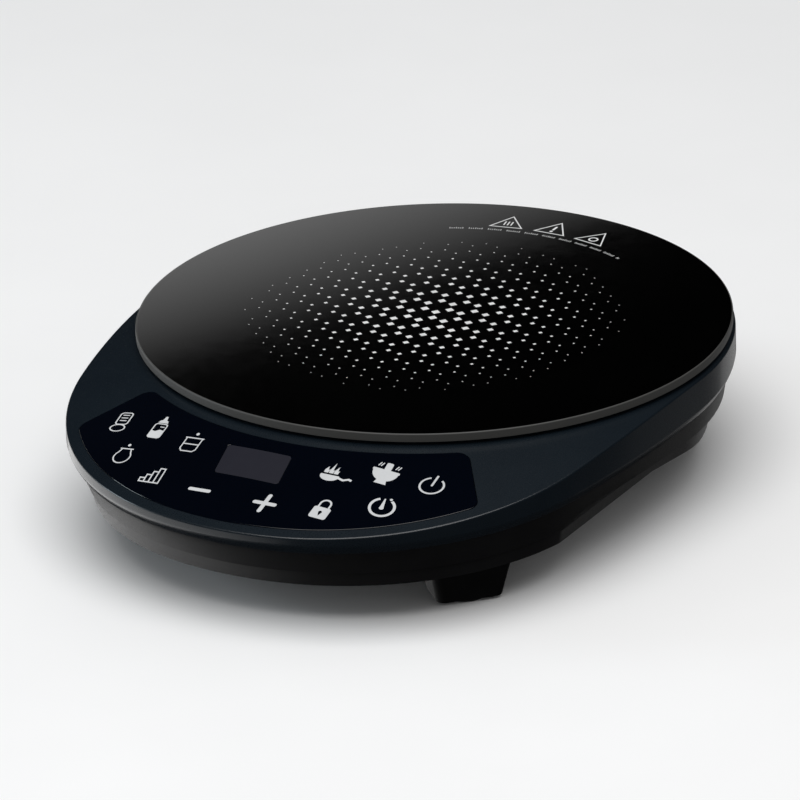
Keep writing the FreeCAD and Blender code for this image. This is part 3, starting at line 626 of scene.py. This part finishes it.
def drawn(points, width=LINE, closed=False):
    """A line of even width through points."""
    obj = traced(points, closed, "NONE")
    modify(obj, "SOLIDIFY", thickness=width, offset=0, use_even_offset=True)
    return obj


def filled(points):
    """A filled shape with this outline."""
    obj = traced(points, True, "BOTH")
    bpy.ops.object.mode_set(mode="EDIT")
    welded(MARK_WELD)
    return obj


def united(pieces):
    """One closed mesh from overlapping strokes."""
    for piece in pieces[1:]:
        cut(pieces[0], piece, "UNION")
    return pieces[0]


def curved(x, y, radius, start=0.0, end=360.0, steps=28, squash=1.0):
    """Points on an arc of a mark, in degrees from +X."""
    count = steps + 1 if abs(end - start) < 360 else steps
    turns = [math.radians(start + (end - start) * k / steps) for k in range(count)]
    return [(x + radius * math.cos(a), y + radius * squash * math.sin(a)) for a in turns]


def bar(x0, y0, x1, y1, width=LINE):
    """A straight stroke with round ends."""
    turn = math.degrees(math.atan2(y1 - y0, x1 - x0))
    return filled(curved(x1, y1, width / 2, turn - 90, turn + 90, 8)
                  + curved(x0, y0, width / 2, turn + 90, turn + 270, 8))


def box_shape(x0, y0, x1, y1, r=0.6):
    """Rounded rectangle outline."""
    return (curved(x1 - r, y0 + r, r, -90, 0, 5) + curved(x1 - r, y1 - r, r, 0, 90, 5)
            + curved(x0 + r, y1 - r, r, 90, 180, 5) + curved(x0 + r, y0 + r, r, 180, 270, 5))


def keep_warm():
    return [drawn(box_shape(-2.0, -1.2, 2.2, 5.2, 1.1), closed=True),
            bar(-0.9, 3.9, 1.1, 3.9), bar(-0.9, 2.4, 1.1, 2.4), bar(-0.9, 0.9, 1.1, 0.9),
            drawn(curved(-0.2, -3.2, 2.5, squash=0.74), closed=True)]


def feeding_bottle():
    teat = filled([(-1.9, 3.2), (1.9, 3.2), (1.5, 4.3), (0.75, 4.7), (0.5, 6.1)]
                  + curved(0, 6.1, 0.5, 0, 180, 6) + [(-0.75, 4.7), (-1.5, 4.3)])
    milk = filled([(-1.9, -4.2), (1.9, -4.2), (2.3, -3.6), (2.3, -0.6), (0.6, -0.2), (-0.8, -1.2),
                   (-2.3, -0.8), (-2.3, -3.6)])
    return [teat, drawn(box_shape(-2.3, -4.4, 2.3, 2.7, 0.9), closed=True), milk, bar(0.2, 1.2, 1.5, 1.2, 0.4)]


def steamer():
    return [drawn([(-3.7, 2.4), (-3.1, 2.4), (-3.1, -2.6), (-2.2, -3.6), (2.2, -3.6), (3.1, -2.6),
                   (3.1, 2.4), (3.7, 2.4)]),
            bar(-3.1, 2.4, 3.1, 2.4), bar(-3.0, -0.4, 3.0, -0.4), filled(curved(0, 4.25, 0.6))]


def soup_pot():
    body = [(-1.8, 2.2)] + curved(0, -1.2, 3.1, 140, 400, 26, 0.95) + [(1.8, 2.2)]
    return [drawn(body), bar(-2.4, 2.5, 2.4, 2.5), filled(curved(0, 4.2, 0.58))]


def rising_bars():
    wide, first_left, foot = 1.9, -3.8, -3.2
    made = []
    for k in range(4):
        left, top = first_left + wide * k, -1.6 + 1.6 * k
        made.append(drawn([(left, foot), (left, top), (left + wide, top), (left + wide, foot)], 0.48, True))
    return made


def minus():
    return [bar(-3.0, 0, 3.0, 0, 1.25)]


def plus():
    return [bar(-3.0, 0, 3.0, 0, 1.25), bar(0, -3.0, 0, 3.0, 1.25)]


def frying_pan():
    pan = filled(curved(-1.4, -0.9, 3.1, 180, 360, 16, 0.62) + [(1.6, -0.5), (-4.4, -0.5)])
    handle = drawn([(1.4, -1.1), (3.4, -1.6), (4.9, -0.9), (6.0, -1.2)], 0.7)
    flames = [filled([(x - 0.75, 0.1), (x - 0.85, 1.2), (x - 0.1, 2.0 + h), (x + 0.2, 1.2),
                      (x + 0.7, 1.5), (x + 0.6, 0.1)])
              for x, h in ((-3.1, 0.6), (-1.5, 2.2), (0.1, 1.0))]
    return [pan, handle] + flames


def hot_pot():
    bowl = filled(curved(0, 0.9, 4.0, 180, 360, 20, 0.86))
    rim = filled(box_shape(-4.3, 0.8, 4.3, 1.7, 0.4))
    foot = filled([(-1.9, -3.6), (1.9, -3.6), (1.5, -2.2), (-1.5, -2.2)])
    lump = filled(box_shape(-0.9, 1.5, 1.2, 4.3, 0.5))
    steam = [bar(x, 2.7, x + 0.5, 3.8, 0.36) for x in (-3.1, -2.3, 2.4, 3.2)]
    return [bowl, rim, foot, lump] + steam


def padlock():
    body = filled(box_shape(-3.0, -4.0, 3.0, 1.0, 0.8))
    shackle = drawn([(-1.8, 0.6)] + curved(0, 2.4, 1.8, 180, 0, 14) + [(1.8, 0.6)], 0.62)
    return [body, shackle]


def keyhole():
    """The dark drop in the padlock's body."""
    return filled(curved(0, -1.2, 0.62, -30, 210, 10) + [(0, -2.9)])


def timer_dial():
    return [drawn(curved(0, 0, 3.7, 116, 360 + 56, 40), 0.85), filled(curved(-0.1, -0.3, 0.72)),
            filled([(-0.7, -0.1), (0.5, -0.1), (0.05, 3.7), (-0.35, 3.7)]), filled(curved(1.65, 3.75, 0.45))]


def power():
    return [drawn(curved(0, 0, 3.5, 116, 360 + 56, 40), 0.6), bar(0, 0.1, 0, 4.4, 0.66)]


# mark, bearing from the front, radius in millimetres, turn of its base line, lean of its upright,
# width and height factors
KEY_MARKS = (
    (keep_warm, -30.2, 161.2, 0.0, -6.0, 1.45, 1.32), (feeding_bottle, -22.8, 154.7, -4.0, -3.0, 1.39, 1.36),
    (steamer, -14.5, 154.7, -1.0, -3.0, 1.28, 1.50), (soup_pot, -22.5, 174.8, -1.5, -5.0, 1.31, 1.50),
    (rising_bars, -14.6, 179.1, -1.5, -7.0, 1.31, 1.52), (minus, -5.8, 179.1, 0.7, -2.0, 1.55, 1.58),
    (plus, 4.8, 179.0, 2.7, 0.0, 1.60, 1.68), (frying_pan, 13.1, 155.5, 4.0, -3.0, 1.45, 1.65),
    (hot_pot, 21.1, 153.5, 2.0, -7.0, 1.52, 1.72), (padlock, 13.3, 178.5, 0.0, -1.5, 1.38, 1.45),
    (timer_dial, 21.7, 174.8, 8.0, -10.0, 1.50, 1.50), (power, 28.8, 160.8, 8.0, -3.0, 1.48, 1.49))


def lay_on_deck(obj, place, lift):
    """Move a flat mark, drawn in millimetres about the origin, onto the conical deck."""
    bearing, radius, turn, lean, wide, high = place
    a, turn, lean = (math.radians(v) for v in (bearing, turn, lean))
    x, y = radius * MM * math.sin(a), -radius * MM * math.cos(a)

    def tangent(dx, dy):
        return Vector((dx, dy, -DECK_SLOPE * (x * dx + y * dy) / math.hypot(x, y))) * MM

    base = tangent(math.cos(turn), math.sin(turn)) * wide
    up = tangent(math.sin(lean), math.cos(lean)) * high
    face = base.cross(up).normalized()
    centre = Vector((x, AXIS_Y + y, deck_z(math.hypot(x, y)))) + face * lift
    obj.data.transform(Matrix.Translation(centre) @ Matrix((base, up, face * INK)).transposed().to_4x4())


def make_key_marks():
    for draw, *place in KEY_MARKS:
        mark = united(draw())
        lay_on_deck(mark, place, PANEL_PROUD + INK / 2)
        done(mark, "mark_" + draw.__name__, "panel_gloss", KEY_INK, angle=20)
        if draw is padlock:
            hole = keyhole()
            lay_on_deck(hole, place, PANEL_PROUD + INK)
            done(hole, "mark_keyhole", "panel_gloss", MATERIALS["panel_gloss"], angle=20)


# ---- glass plate and its print ----------------------------------------------------------------
def pick_flat(obj, facing):
    """Select the flat face that looks up (facing 1) or down (facing -1), in edit mode."""
    bpy.ops.mesh.select_all(action="DESELECT")
    mesh = bmesh.from_edit_mesh(obj.data)
    for face in mesh.faces:
        if face.normal.z * facing > 0.9999:
            face.select_set(True)
    bmesh.update_edit_mesh(obj.data)


def make_glass_plate():
    """Disc with both edges rounded, its top as low as the print is thick."""
    begin()
    bpy.ops.mesh.primitive_cylinder_add(vertices=ROUND_STEPS, radius=PLATE_R, depth=PLATE_TOP - GLASS_Z,
                                        location=(0, AXIS_Y, (PLATE_TOP + GLASS_Z) / 2))
    plate = active()
    bpy.ops.object.transform_apply(location=True)
    bpy.ops.object.mode_set(mode="EDIT")
    bpy.ops.mesh.select_mode(type="FACE")
    for facing, width, segments in ((1, PLATE_EDGE_TOP, 5), (-1, PLATE_EDGE_UNDER, 3)):
        pick_flat(plate, facing)
        bpy.ops.mesh.bevel(offset=width, segments=segments)
        pick_flat(plate, facing)
        bpy.ops.mesh.inset(thickness=SUPPORT)
    bpy.ops.mesh.select_mode(type="VERT")
    done(plate, "cooking_plate", "ceramic_glass", replaces=["glass_plate"])


# the print's pattern, in millimetres
DOT_PITCH = 11.5           # spacing of the hexagonal cells
DOT_TURN = math.radians(17)
DOT_SQUARE_TURN = math.radians(53)
DOT_LARGEST = 3.15         # side of the square in the middle
DOT_FADE = 43.0            # the squares shrink as a bell curve this wide
DOT_FIELD = 87.0           # the print ends at this radius


def make_plate_print():
    """Small squares at the corners of hexagonal cells, smaller towards the rim."""
    begin()
    bpy.ops.mesh.primitive_cube_add(size=1)
    first = active()
    places = []
    count = int(2 * DOT_FIELD / DOT_PITCH)
    bond = DOT_PITCH / math.sqrt(3)
    for i in range(-count, count + 1):
        for j in range(-count, count + 1):
            for side in (-0.5, 0.5):
                x = DOT_PITCH * (i + j / 2)
                y = DOT_PITCH * j * math.sqrt(3) / 2 + side * bond
                places.append((x * math.cos(DOT_TURN) - y * math.sin(DOT_TURN),
                               x * math.sin(DOT_TURN) + y * math.cos(DOT_TURN)))
    squares = []
    for x, y in places:
        away = math.hypot(x, y)
        if away > DOT_FIELD:
            continue
        wide = DOT_LARGEST * math.exp(-(away / DOT_FADE) ** 2 / 2) * MM
        square = bpy.data.objects.new("square", first.data.copy())
        square.data.transform(Matrix.Translation((x * MM, AXIS_Y + y * MM, PLATE_TOP + INK / 2))
                              @ Matrix.Rotation(DOT_SQUARE_TURN, 4, "Z")
                              @ Matrix.Diagonal((wide, wide, INK, 1)))
        bpy.context.scene.collection.objects.link(square)
        squares.append(square)
    bpy.data.objects.remove(first)
    done(joined(squares), "plate_dot_print", "ceramic_glass", PLATE_INK, angle=20)


def lay_on_plate(obj, bearing, radius):
    """Move a flat mark onto the glass, its upright pointing away from the middle."""
    turn = Matrix.Rotation(-math.radians(bearing), 4, "Z")
    place = Matrix.Translation((0, AXIS_Y, PLATE_TOP + INK / 2))
    out = Matrix.Translation((0, radius * MM, 0))
    obj.data.transform(place @ turn @ out @ Matrix.Diagonal((MM, MM, INK, 1)))


def triangle():
    return drawn([(-7.6, -4.5), (7.6, -4.5), (0, 8.4)], 0.62, True)


# the marks near the plate's rear edge, in degrees from the back and millimetres from the axis
TRIANGLE_STEP = 11.5
TRIANGLE_R = 112.6
TICKS = 92
TICK_START = -25.3
TICK_STEP = 0.55
TICK_R = 103.6
TICK_HIGH, TICK_HIGHER = 0.95, 1.35
TICK_WIDE = 0.3


def make_plate_marks():
    """Three plain triangles with simple strokes in them, and a fine arc of ticks under them."""
    inside = ([bar(x, -1.8, x, 1.9, 0.7) for x in (-1.7, 0, 1.7)],
              [bar(0, -0.2, 0, 3.2, 1.1), filled(curved(0, -2.2, 0.8))],
              [drawn(curved(0, -0.4, 2.0), 0.8, True)])
    for k, strokes in enumerate(inside):
        mark = united([triangle()] + strokes)
        lay_on_plate(mark, TRIANGLE_STEP * (k - 1), TRIANGLE_R)
        done(mark, "plate_triangle_%d" % (k + 1), "ceramic_glass", PLATE_INK, angle=20)
    ticks = []
    for k in range(TICKS):
        if k % 9 < 7:
            a = math.radians(TICK_START + TICK_STEP * k)
            top = TICK_R + (TICK_HIGH if k % 3 else TICK_HIGHER)
            ticks.append(bar(TICK_R * math.sin(a), TICK_R * math.cos(a),
                             top * math.sin(a), top * math.cos(a), TICK_WIDE))
    scale = joined(ticks)
    lay_on_plate(scale, 0, 0)
    done(scale, "plate_tick_arc", "ceramic_glass", PLATE_INK, angle=20)


# ---- pieces worked from the frame's own meshes --------------------------------------------------
def softened(node_name, name, slot, width, material=None):
    """Copy of a frame piece with its doubles merged and its edges rounded over."""
    source = frame["nodes"][node_name]
    copy = bpy.data.objects.new(name, source.data.copy())
    bpy.context.scene.collection.objects.link(copy)
    pick(copy)
    bpy.ops.mesh.customdata_custom_splitnormals_clear()
    bpy.ops.object.mode_set(mode="EDIT")
    bpy.ops.mesh.select_all(action="SELECT")
    bpy.ops.mesh.remove_doubles(threshold=FRAME_WELD)
    bpy.ops.mesh.dissolve_limited(angle_limit=math.radians(FRAME_FLAT))
    begin()
    round_edges(copy, width, 2, FRAME_SHARP, clamp=True)
    done(copy, name, slot, material, angle=30, replaces=[node_name])


# ---- lights, floor and camera ---------------------------------------------------------------------
BEHIND_FLOOR = (1, 1, 1, 1)
ON_MATT = (0.34, 0.34, 0.34, 1)
IN_GLOSS = (0.012, 0.012, 0.013, 1)


def stand(obj, place):
    """Put a light or card here, turned to the middle of the studio."""
    obj.location = place
    obj.rotation_euler = (Vector(STUDIO_MIDDLE) - Vector(place)).to_track_quat("-Z", "Y").to_euler()


def soft_light(name, place, size, power, colour=(1, 1, 1)):
    """Large area light aimed at the middle of the studio."""
    light = bpy.data.lights.new(name, "AREA")
    light.shape = "RECTANGLE"
    light.size, light.size_y = size
    light.energy = power
    light.color = colour
    obj = bpy.data.objects.new(name, light)
    bpy.context.scene.collection.objects.link(obj)
    stand(obj, place)


def make_floor():
    """Pale floor, a hair under the feet, that the gloss doesn't mirror."""
    begin()
    bpy.ops.mesh.primitive_plane_add(size=14, location=(0, 0, -0.0002))
    floor = active()
    floor.name = "studio_floor"
    mat = new_material("pale_floor", (0.93, 0.93, 0.93), 0.9)
    ramp(mat, noise(mat, 6).outputs["Fac"], (0.92, 0.92, 0.92), (0.94, 0.94, 0.94),
         shader_of(mat).inputs["Base Color"])
    floor.data.materials.append(mat)
    floor.visible_glossy = floor.visible_diffuse = False
    begin()


def make_world():
    """White behind the floor, bright for matt surfaces, nearly black for what the gloss mirrors."""
    world = bpy.data.worlds.new("studio")
    bpy.context.scene.world = world
    world.use_nodes = True
    nodes, links = world.node_tree.nodes, world.node_tree.links
    background = nodes["Background"]
    seen = nodes.new("ShaderNodeLightPath")
    matt = nodes.new("ShaderNodeMixRGB")
    matt.inputs["Color1"].default_value = IN_GLOSS
    matt.inputs["Color2"].default_value = ON_MATT
    links.new(seen.outputs["Is Diffuse Ray"], matt.inputs["Fac"])
    mix = nodes.new("ShaderNodeMixRGB")
    mix.inputs["Color2"].default_value = BEHIND_FLOOR
    links.new(seen.outputs["Is Camera Ray"], mix.inputs["Fac"])
    links.new(matt.outputs["Color"], mix.inputs["Color1"])
    links.new(mix.outputs["Color"], background.inputs["Color"])


def glow_card(name, place, size, strength, along=(0, 0), start=1.0):
    """Staged card that only glossy surfaces see; its glow may fall off across it.

    along gives the change of glow per metre across and up the card, and start the glow in its middle."""
    begin()
    bpy.ops.mesh.primitive_plane_add(size=1)
    card = active()
    card.name = name
    card.data.transform(Matrix.Diagonal((*size, 1, 1)))
    stand(card, place)
    mat = bpy.data.materials.new(name)
    mat.use_nodes = True
    mat.cycles.emission_sampling = "NONE"
    nodes = mat.node_tree.nodes
    nodes.remove(nodes["Principled BSDF"])
    glow = node(mat, "ShaderNodeEmission")
    coords = node(mat, "ShaderNodeTexCoord")
    fall = node(mat, "ShaderNodeVectorMath", operation="DOT_PRODUCT")
    fall.inputs[1].default_value = (*along, 0)
    total = node(mat, "ShaderNodeMath", operation="ADD", use_clamp=True)
    total.inputs[1].default_value = start
    bright = node(mat, "ShaderNodeMath", operation="MULTIPLY")
    bright.inputs[1].default_value = strength
    link(mat, coords.outputs["Object"], fall.inputs[0])
    link(mat, fall.outputs["Value"], total.inputs[0])
    link(mat, total.outputs[0], bright.inputs[0])
    link(mat, bright.outputs[0], glow.inputs["Strength"])
    link(mat, glow.outputs[0], nodes["Material Output"].inputs["Surface"])
    card.data.materials.append(mat)
    card.visible_camera = card.visible_diffuse = card.visible_shadow = False
    begin()


VIEW = Vector((-0.46138, 0.79914, -0.38537)).normalized()
VIEW_BEARING = math.radians(30)
VIEW_ROLL = math.radians(-1.7755)
VIEW_DISTANCE = 3.85
VIEW_LENS = 383.73         # millimetres, on a sensor 36 wide
VIEW_SHIFT = (-0.0427125, -0.106625)


def make_camera():
    """Long lens from the front right, turned a little about its line of sight."""
    view, roll = VIEW, VIEW_ROLL
    right = Vector((math.cos(VIEW_BEARING), math.sin(VIEW_BEARING), 0))
    up = right.cross(view)
    turned_right = right * math.cos(roll) + up * math.sin(roll)
    turned_up = up * math.cos(roll) - right * math.sin(roll)
    data = bpy.data.cameras.new("camera")
    data.sensor_width = 36
    data.lens = VIEW_LENS
    data.shift_x, data.shift_y = VIEW_SHIFT
    data.clip_end = 50
    camera = bpy.data.objects.new("camera", data)
    bpy.context.scene.collection.objects.link(camera)
    camera.matrix_world = Matrix((turned_right, turned_up, -view)).transposed().to_4x4()
    camera.location = Vector((0, AXIS_Y, TOP_Z)) - view * VIEW_DISTANCE
    bpy.context.scene.camera = camera


make_camera()
make_world()
make_floor()
soft_light("overhead", (0.3, -0.55, 2.2), (2.2, 2.2), 43)
soft_light("left_key", (-2.4, -0.9, 0.7), (0.8, 0.8), 14, (0.8, 0.92, 1.0))
glow_card("plate_sheen", (-0.553, 0.99, 0.533), (0.5, 0.24), 1.0, along=(3.6, -12.4), start=-0.234)
glow_card("left_sweep", (-1.1, -0.5, -0.5), (4.5, 1.2), 1.5, along=(-0.4, 0), start=0.9)
glow_card("right_sweep", (0.75, 1.3, -0.62), (0.9, 0.9), 0.10)
glow_card("back_sweep", (0.1, 1.9, -0.75), (1.3, 0.9), 0.45)
bpy.context.scene.view_settings.view_transform = "Standard"

make_top_shell()
make_panel()
make_key_marks()
make_glass_plate()
make_plate_print()
make_plate_marks()
softened("bottom_shell", "bottom_shell_skin", "body_textured", 0.0004)
# the feet wear the darker copy of the body's finish, painted shade under the body
for corner in ("front_left", "front_right", "rear_left", "rear_right"):
    softened("foot_" + corner, "foot_skin_" + corner, "body_textured", 0.0008, SHADED_FOOT_FINISH)
softened("foot_pads", "foot_pad_rings", "rubber_black", 0.0003)
softened("cord_gland", "cord_grommet", "rubber_black", 0.0004)

# pieces of the frame keep their shape and take their slot's finish
for part in frame["record"]["subparts"]:
    piece = frame["nodes"][part["node"]]
    piece.data.materials.clear()
    piece.data.materials.append(MATERIALS[part["material_slot"]])
